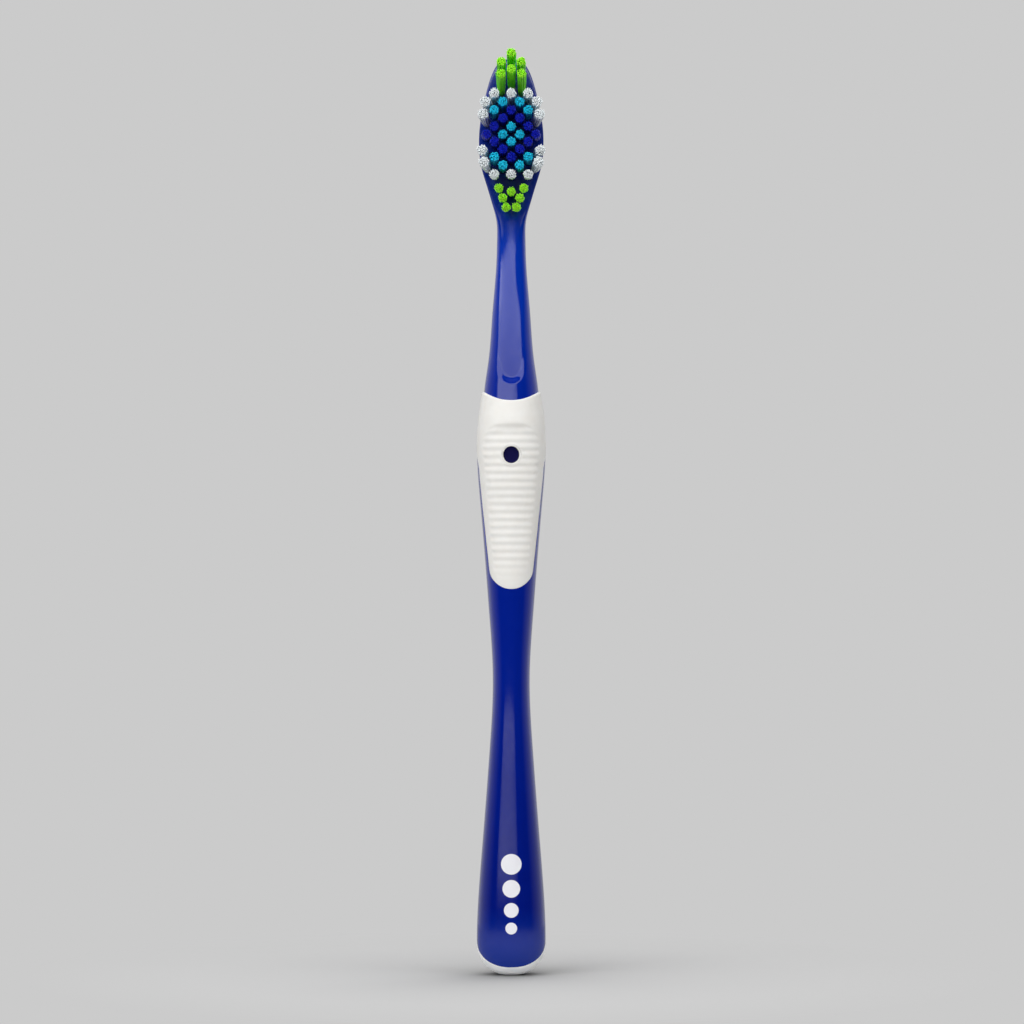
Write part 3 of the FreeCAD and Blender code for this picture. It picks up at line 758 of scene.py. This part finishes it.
def sink_under_soft(points):
    # The handle drops away under the soft pieces, a little inside their borders
    height = points[..., 2]
    near_grip = (height > border_height[0] - GRIP_NEAR) & (height < HANDLE_STATIONS["collar_top"][0])
    depth = np.zeros(points.shape[:-1])
    covered = near_grip & in_grip(points)
    depth[covered] = CORE_SINK * smooth_step(SINK_START, SINK_END, distance_to(grip_line, points[covered]))
    end_depth = CORE_SINK * smooth_step(SINK_START, SINK_END, end_level(points))
    depth = np.maximum(depth, end_depth) + window_floor(points)
    return points - depth[..., None] * outward(handle_form, points)


def shank_grid():
    heights = np.concatenate([butt_heights(), row_heights(SHANK_RUNS)])
    return sink_under_soft(ring_grid(handle_form, heights))


def facet_depth(points):
    # Front of the facet and face: a slope that turns softly into the flat face, and bulges a little high up
    across, height = points[..., 0], points[..., 2]
    face_start = NECK_STATIONS["face_start"][0]
    slope = (FACE_FORWARD - FACET_END_FORWARD) / (face_start - FACET_END)
    below = face_start - height
    below = (below + np.sqrt(below**2 + FACET_TURN**2)) / 2
    bulge = smooth_step(*FACET_BULGE_HEIGHTS, height) * (1 - smooth_step(*FACET_BULGE_FADE, height))
    return FACE_FORWARD - slope * below + FACET_BULGE * bulge * across**2


def facet_mask(points):
    # 1 inside the outline of the facet, falling to 0 across its end wall
    across, height = np.abs(points[..., 0]), points[..., 2]
    opening = smooth_step(FACET_WIDENS, FACET_OPEN, height)
    half_width = FACET_HALF_WIDTH + opening * (FACET_OPEN_HALF_WIDTH - FACET_HALF_WIDTH)
    round_centre = FACET_END + FACET_HALF_WIDTH
    below = np.clip(round_centre - height, 0.0, None)
    inside = half_width - np.hypot(across, below)
    return smooth_step(0.0, FACET_WALL, inside)


def neck_grid():
    shares = np.linspace(1.0, TIP_LAST_SHARE, TIP_ROWS)
    tip_heights = HEAD_TIP - TIP_LENGTH * shares**TIP_CROWDING
    heights = np.concatenate([row_heights(NECK_RUNS)[:-1], tip_heights])
    points = ring_grid(neck_form, heights)
    plane = facet_depth(points)
    gap = points[..., 1] - plane
    lifted = plane + (gap + np.sqrt(gap**2 + FACET_EDGE**2)) / 2
    mask = facet_mask(points)
    points[..., 1] += mask * (lifted - points[..., 1])
    return points


def build_handle():
    shank_vertices, shank_faces = ring_solid(shank_grid())
    neck_vertices, neck_faces = ring_solid(neck_grid(), len(shank_vertices))
    faces = shank_faces + neck_faces
    piece = new_piece("handle_moulding", shank_vertices + neck_vertices, faces, "blue_plastic")
    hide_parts("handle")


# Soft grip


def rib_half_width(height):
    # Half width of the ribbed zone, with its arched top and round end
    share = (RIB_TOP - height) / (RIB_TOP - RIB_END)
    straight = RIB_TOP_HALF_WIDTH + share * (RIB_END_HALF_WIDTH - RIB_TOP_HALF_WIDTH)
    over = np.clip(height - (RIB_TOP - RIB_TOP_ROUND), 0.0, RIB_TOP_ROUND)
    under = np.clip((RIB_END + RIB_END_ROUND) - height, 0.0, RIB_END_ROUND)
    arch = RIB_TOP_ROUND - np.sqrt(RIB_TOP_ROUND**2 - over**2)
    cup = RIB_END_ROUND - np.sqrt(RIB_END_ROUND**2 - under**2)
    return straight - arch - cup


def rib_outline():
    # Closed outline of the ribbed zone, seen from the front
    heights = np.linspace(RIB_END, RIB_TOP, RIB_OUTLINE_POINTS)
    right = np.stack([rib_half_width(heights), np.zeros_like(heights), heights], axis=1)
    left = right[::-1] * np.array([-1, 1, 1])
    return resample(np.concatenate([right, left, right[:1]]), RIB_OUTLINE_STEP)


def dish_relief(points, normals):
    # How far the flatter floor of the dish lies under the smooth skin
    half_width, half_depth, centre, _ = handle_form(points[..., 2])
    share = np.clip(np.abs(points[..., 0]) / half_width, 0.0, 1.0)
    floor = (half_depth - DISH_DEPTH) * (1 - share**DISH_ROUNDNESS) ** (1 / DISH_ROUNDNESS)
    return np.clip(centre - points[..., 1] - floor, 0.0, None) * np.abs(normals[..., 1])


def rib_relief(points, normals):
    # Depth of dish, grooves and window below the smooth skin
    across, height = points[..., 0], points[..., 2]
    front = points[..., 1] < 0
    inside = front & (height < RIB_TOP) & (height > RIB_END)
    inside &= np.abs(across) < rib_half_width(np.clip(height, RIB_END, RIB_TOP))
    from_edge = np.zeros_like(height)
    from_edge[inside] = distance_to(rib_outline(), points[inside] * np.array([1, 0, 1]))
    lengthwise = smooth_step(RIB_END - RIB_OVERRUN, RIB_END + RIB_TAPER, height)
    ribbed = smooth_step(0.0, RIB_FADE, from_edge) * lengthwise
    dished = smooth_step(0.0, DISH_FADE, from_edge) * smooth_step(RIB_END, RIB_END + DISH_TAPER, height)
    groove_middle = RIB_TOP - RIB_PITCH + RIB_GROOVE_OFFSET
    wave = 0.5 + 0.5 * np.cos(2 * math.pi * (height - groove_middle) / RIB_PITCH)
    from_window = np.hypot(across, height - WINDOW_HEIGHT)
    clear = smooth_step(WINDOW_RADIUS + WINDOW_LIP, WINDOW_RADIUS + WINDOW_LIP + WINDOW_MARGIN, from_window)
    hole = np.where(front, 1 - smooth_step(WINDOW_RADIUS, WINDOW_RADIUS + WINDOW_LIP, from_window), 0.0)
    return dished * dish_relief(points, normals) + ribbed * RIB_DEPTH * wave * clear + WINDOW_SINK * hole


def grip_grid():
    side = np.linspace(-1, 1, GRIP_COLUMNS + 1)
    spread = np.sign(side) * (1 - (1 - np.abs(side)) ** EDGE_CROWDING)
    rows = [section_point(handle_form, np.full_like(spread, height), angle * spread)
            for angle, height in zip(border_angle[1:], border_height[1:])]
    full = math.pi * spread
    for height in np.arange(border_height[-1] + BORDER_STEP, COLLAR_BLEND_START, BORDER_STEP):
        rows.append(section_point(handle_form, np.full_like(spread, height), full))
    top = collar_height(full)
    for share in 1 - np.linspace(1, 0, COLLAR_ROWS) ** EDGE_CROWDING:
        height = COLLAR_BLEND_START + share * (top - COLLAR_BLEND_START)
        rows.append(section_point(handle_form, height, full))
    return np.array(rows)


def build_grip():
    skin = grip_grid()
    normals = outward(handle_form, skin)
    to_border = distance_to(grip_line, skin)
    to_collar = distance_to(collar_line, skin)
    fall = np.maximum(edge_fall(to_border), edge_fall(to_collar))
    grid = skin + normals * (SOFT_PROUD - fall - rib_relief(skin, normals))[..., None]
    flat = normals[-1] * np.array([1, 1, 0])
    ledge = [grid[-1] - flat * step for step in LEDGE_STEPS]
    grid = np.concatenate([grid, np.array(ledge)])
    rows, columns = grid.shape[:2]
    faces = grid_faces(rows, columns, False)
    piece = new_piece("grip_sleeve", grid.reshape(-1, 3), faces, "white_soft")
    weld(piece, GRIP_WELD)
    thicken(piece, SOFT_WALL)
    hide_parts("thumb_grip")


def front_patch(across, height, lift):
    # Points on the front of the handle at given places across and up, lifted off its surface
    half_width, half_depth, centre, power = handle_form(height)
    y = centre - half_depth * (1 - np.abs(across / half_width) ** power) ** (1 / power)
    points = np.stack([across, y, height], axis=-1)
    return points + outward(handle_form, points) * lift[..., None]


def build_window():
    # Soft rim round the window of the grip, in which the hard core shows
    turn = np.linspace(0, 2 * math.pi, RIM_TURNS, endpoint=False)
    around = np.linspace(0, 2 * math.pi, RIM_SIDES, endpoint=False)
    turn_grid, around_grid = np.meshgrid(turn, around, indexing="ij")
    reach = WINDOW_RADIUS + RIM_GAP + RIM_TUBE * np.cos(around_grid)
    lift = RIM_TUBE * np.sin(around_grid) - DISH_DEPTH - RIM_TUBE / 2
    rim = front_patch(reach * np.sin(turn_grid), WINDOW_HEIGHT + reach * np.cos(turn_grid), lift)
    faces = grid_faces(RIM_TURNS, RIM_SIDES, True)
    last = (RIM_TURNS - 1) * RIM_SIDES
    for place in range(RIM_SIDES):
        ahead = (place + 1) % RIM_SIDES
        faces.append([last + place, last + ahead, ahead, place])
    piece = new_piece("window_rim", rim.reshape(-1, 3), faces, "white_soft")
    weld(piece, WELD)


# Soft end


def end_grid():
    # Rows from the standing flat up to the slanting border, along lines of constant angle
    angles = np.linspace(-math.pi, math.pi, COLUMNS, endpoint=False)
    heights = np.concatenate([butt_heights(), np.linspace(BUTT_HEIGHT, END_TOP, END_POINTS)])
    line = section_point(handle_form, *np.meshgrid(heights, angles, indexing="ij"))
    level = end_level(line)
    reach = np.arange(len(heights))
    shares = 1 - np.linspace(1, 0, END_ROWS) ** EDGE_CROWDING
    columns = []
    for place in range(COLUMNS):
        crossing = np.interp(0.0, -level[:, place], reach)
        spots = np.interp(shares * crossing, reach, heights)
        columns.append(section_point(handle_form, spots, np.full_like(spots, angles[place])))
    return np.stack(columns, axis=1)


def build_end():
    skin = end_grid()
    border = np.concatenate([skin[-1], skin[-1, :1]])
    fall = edge_fall(distance_to(resample(border, LINE_STEP), skin))
    lift = (SOFT_PROUD - fall)[..., None] * outward(handle_form, skin)
    lift[..., 2] = np.where(skin[..., 2] + lift[..., 2] < 0, -skin[..., 2], lift[..., 2])
    outer = skin + lift
    inner = skin - CORE_SINK * END_WALL_SHARE * outward(handle_form, skin)
    vertices, faces = ring_solid(np.concatenate([outer, inner[::-1]]))
    piece = new_piece("end_skin", vertices, faces, "white_soft")
    weld(piece, WELD)
    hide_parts("soft_end")


# Bristles


def tuft_axis(node):
    # Root and tip of a tuft's middle line, from its solid in the frame, with lower roots in the heel half
    corners = np.array([vertex.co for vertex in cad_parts[node].data.vertices]) / MM
    corners = np.unique(np.round(corners, CORNER_DECIMALS), axis=0)
    middle = corners.mean(axis=0)
    _, _, axes = np.linalg.svd(corners - middle, full_matrices=False)
    along = axes[0] * -np.sign(axes[0][1])
    reach = ((corners - middle) @ along).max()
    root = middle + along * (FACE_FORWARD - middle[1]) / along[1]
    root[2] -= ROOT_DROP * smooth_step(*ROOT_DROP_HEIGHTS, root[2])
    return root, middle + along * reach


def filament(root, tip, bow, radius):
    # A round filament with a domed end, as rings from its root to its tip
    along = tip - root
    length = np.linalg.norm(along)
    along = along / length
    across = np.cross(along, [1.0, 0.0, 0.0])
    across = across / np.linalg.norm(across)
    third = np.cross(along, across)
    turn = np.linspace(0, 2 * math.pi, FILAMENT_SIDES, endpoint=False)[:, None]
    circle = np.cos(turn) * across + np.sin(turn) * third
    rings = []
    tips = []
    end = 1 - radius / length
    for share in (*FILAMENT_RINGS, end):
        middle = root + along * length * share + bow * 4 * share * (1 - share)
        rings.append(middle + radius * circle)
        tips.append(share)
    for angle in FILAMENT_DOME_ANGLES:
        rise = radius * math.sin(math.radians(angle))
        middle = root + along * (length * end + rise)
        rings.append(middle + radius * math.cos(math.radians(angle)) * circle)
        tips.append(1.0)
    return np.array(rings), tips


def tip_spread(group, slot):
    # Radius of a bundle at its tips, widest at the sides of the head
    if group == "side_tuft":
        return SIDE_TIP_RADIUS
    return WHITE_TIP_RADIUS if slot == "white_nylon" else BUNDLE_TIP_RADIUS


def build_tuft(node, slot, tip_radius, seed):
    rng = np.random.default_rng(seed)
    root, tip = tuft_axis(node)
    along = (tip - root) / np.linalg.norm(tip - root)
    across = np.cross(along, [0.0, 0.0, 1.0])
    across = across / np.linalg.norm(across)
    third = np.cross(along, across)
    golden = math.pi * (3 - math.sqrt(5))
    spin = rng.uniform(0, 2 * math.pi)
    vertices, faces, tips = [], [], []
    for index in range(FILAMENTS):
        share = math.sqrt((index + 0.5) / FILAMENTS)
        turn = spin + index * golden
        place = share * (math.cos(turn) * across + math.sin(turn) * third)
        stray = rng.normal(0, FILAMENT_STRAY, 3)
        low = root - along * BUNDLE_ROOT + BUNDLE_BASE_RADIUS * place
        short = TIP_CROWN * share**2 + rng.uniform(0, TIP_SCATTER)
        high = tip - along * short + tip_radius * place + stray
        bow = place * rng.normal(FILAMENT_BOW, FILAMENT_BOW_SPREAD)
        rings, ring_tips = filament(low, high, bow, FILAMENT_SHARE * tip_radius)
        more_vertices, more_faces = ring_solid(rings, len(vertices))
        vertices += more_vertices
        faces += more_faces
        tips += [value for value in ring_tips for _ in range(FILAMENT_SIDES)] + [0.0, 1.0]
    piece = new_piece(f"{node}_bristles", vertices, faces, slot)
    field = piece.data.attributes.new("tip", "FLOAT", "POINT")
    field.data.foreach_set("value", tips)
    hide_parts(node)


def build_tufts():
    for seed, node in enumerate(sorted(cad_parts), start=SEED):
        group = node.rpartition("_")[0]
        if group in TUFT_SLOTS:
            build_tuft(node, TUFT_SLOTS[group], tip_spread(group, TUFT_SLOTS[group]), seed)


def dress_anchors():
    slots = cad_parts["tuft_anchors"].data.materials
    slots.clear()
    slots.append(MATERIALS["anchor_brass"])


build_handle()
build_grip()
build_window()
build_end()
build_tufts()
dress_anchors()


# Floor, light and camera

BACKGROUND = 0.597
FLOOR_ALBEDO = 0.54
FLOOR_DEEP = 0.12
SHADE_POWER = 1.8
SHADE_REACH = 0.06
SHADE_SAMPLES = 32
FLOOR_RADIUS = 0.16
FLOOR_CORNERS = 128
FLOOR_NEAR = 0.035
FLOOR_FAR = 0.1

# World: its light on the brush, and what reflections find from front to back along Y
AMBIENT = 0.33
SIDES_SPAN = (-0.58, 0.58)
SIDES_LIGHT = (0.005, 0.95)
BEHIND_SPAN = (0.7, 0.97)

# Lamps: shape, place and half size in degrees, distance, radiance and whether reflections show them
AIM = Vector((0.0, 0.0, 0.095))
LAMPS = {
    "front": ("RECTANGLE", (-16.0, 29.5), (34.0, 15.0), 0.69, 2.3, True),
    "front_sill": ("ELLIPSE", (-19.5, 10.95), (36.5, 2.95), 3.5, 2.5, True),
    "low_card": ("ELLIPSE", (-12.0, 0.65), (28.0, 1.93), 3.5, 1.3, True),
    "key": ("ELLIPSE", (-50.0, 48.0), (22.0, 22.0), 1.4, 1.7, False),
    "fill": ("ELLIPSE", (52.0, 46.0), (20.0, 18.0), 1.4, 1.5, False),
    "overhead": ("ELLIPSE", (0.0, 80.0), (26.0, 26.0), 1.1, 1.2, False),
    "back": ("ELLIPSE", (150.0, 35.0), (24.0, 20.0), 1.4, 1.6, False),
}

# Camera: level with the middle of the photo, one metre away
LENS = 171.06
SENSOR_WIDTH = 36.0
CAMERA_PLACE = (0.00015, -1.0, 0.09504)


def floor_material():
    # Lit grey near the brush, the background colour farther out, and a painted shadow from ambient occlusion
    # that bounced light skips
    material, tree, shader = new_material("floor_grey")
    rays = add_node(tree, "ShaderNodeLightPath").outputs
    seen = arithmetic(tree, "MAXIMUM", rays["Is Camera Ray"], rays["Is Glossy Ray"])
    seen = arithmetic(tree, "MAXIMUM", seen, rays["Is Transmission Ray"])
    shade = add_node(tree, "ShaderNodeAmbientOcclusion", samples=SHADE_SAMPLES)
    shade.inputs["Distance"].default_value = SHADE_REACH
    open_share = arithmetic(tree, "POWER", shade.outputs["AO"], SHADE_POWER)
    open_share = arithmetic(tree, "MAXIMUM", open_share, arithmetic(tree, "SUBTRACT", 1.0, seen))
    deep = (FLOOR_DEEP,) * 3
    lit = blend_colours(tree, open_share, deep, (FLOOR_ALBEDO,) * 3)
    tree.links.new(lit, shader.inputs["Base Color"])
    shader.inputs["Roughness"].default_value = 1.0
    shader.inputs["Specular IOR Level"].default_value = 0.0
    flat = add_node(tree, "ShaderNodeEmission")
    pale = blend_colours(tree, open_share, deep, (BACKGROUND,) * 3)
    tree.links.new(pale, flat.inputs["Color"])
    place = add_node(tree, "ShaderNodeTexCoord")
    distance = add_node(tree, "ShaderNodeVectorMath", operation="LENGTH")
    tree.links.new(place.outputs["Object"], distance.inputs[0])
    away = remap(tree, distance.outputs["Value"], FLOOR_NEAR, FLOOR_FAR, 0.0, 1.0)
    share = arithmetic(tree, "MULTIPLY", away, seen)
    mix = add_node(tree, "ShaderNodeMixShader")
    tree.links.new(share, mix.inputs["Fac"])
    tree.links.new(shader.outputs["BSDF"], mix.inputs[1])
    tree.links.new(flat.outputs["Emission"], mix.inputs[2])
    tree.links.new(mix.outputs["Shader"], tree.nodes["Material Output"].inputs["Surface"])
    return material


def build_floor():
    # A disc that has the colour of the background at its edge
    mesh = bpy.data.meshes.new("floor")
    turns = np.linspace(0, 2 * math.pi, FLOOR_CORNERS, endpoint=False)
    corners = [(FLOOR_RADIUS * math.cos(turn), FLOOR_RADIUS * math.sin(turn), 0.0) for turn in turns]
    mesh.from_pydata(corners, [], [list(range(len(corners)))])
    floor = bpy.data.objects.new("floor", mesh)
    bpy.context.scene.collection.objects.link(floor)
    mesh.materials.append(floor_material())


def build_world():
    # Flat pale background; reflections find it behind the brush, bright sides and a dark studio in front
    world = bpy.data.worlds.new("studio")
    bpy.context.scene.world = world
    world.use_nodes = True
    tree = world.node_tree
    rays = add_node(tree, "ShaderNodeLightPath").outputs
    place = add_node(tree, "ShaderNodeTexCoord")
    axes = add_node(tree, "ShaderNodeSeparateXYZ")
    tree.links.new(place.outputs["Generated"], axes.inputs["Vector"])
    sides = remap(tree, axes.outputs["Y"], *SIDES_SPAN, *SIDES_LIGHT)
    behind = remap(tree, axes.outputs["Y"], *BEHIND_SPAN, 0.0, 1.0)
    pale = (BACKGROUND,) * 3
    mirrored = blend_colours(tree, behind, sides, pale)
    lighting = blend_colours(tree, rays["Is Glossy Ray"], (AMBIENT,) * 3, mirrored)
    seen = arithmetic(tree, "MAXIMUM", rays["Is Camera Ray"], rays["Is Transmission Ray"])
    colour = blend_colours(tree, seen, lighting, pale)
    tree.links.new(colour, tree.nodes["Background"].inputs["Color"])


def polar(azimuth, elevation, distance):
    # A place seen from the brush: azimuth from the front towards +X, in degrees
    turn, rise = math.radians(azimuth), math.radians(elevation)
    way = Vector((math.sin(turn) * math.cos(rise), -math.cos(turn) * math.cos(rise), math.sin(rise)))
    return AIM + distance * way


def softbox(name, shape, centre, half_angles, distance, radiance, mirrored):
    # A panel that faces the brush, given by where it is seen, how wide and tall it looks and how bright it is
    across, up = (2 * distance * math.tan(math.radians(angle)) for angle in half_angles)
    light = bpy.data.lights.new(name, "AREA")
    light.shape = shape
    light.size = across
    light.size_y = up
    area = across * up * (math.pi / 4 if shape == "ELLIPSE" else 1.0)
    light.energy = radiance * math.pi * area
    lamp = bpy.data.objects.new(name, light)
    bpy.context.scene.collection.objects.link(lamp)
    lamp.location = polar(*centre, distance)
    lamp.rotation_euler = (AIM - lamp.location).to_track_quat("-Z", "Y").to_euler()
    lamp.visible_camera = False
    lamp.visible_glossy = mirrored


def build_lights():
    for name, values in LAMPS.items():
        softbox(name, *values)


def build_camera():
    data = bpy.data.cameras.new("camera")
    data.lens = LENS
    data.sensor_width = SENSOR_WIDTH
    camera = bpy.data.objects.new("camera", data)
    bpy.context.scene.collection.objects.link(camera)
    camera.location = CAMERA_PLACE
    camera.rotation_euler = (math.pi / 2, 0.0, 0.0)
    bpy.context.scene.camera = camera


build_floor()
build_world()
build_lights()
build_camera()
bpy.context.scene.view_settings.view_transform = "Standard"
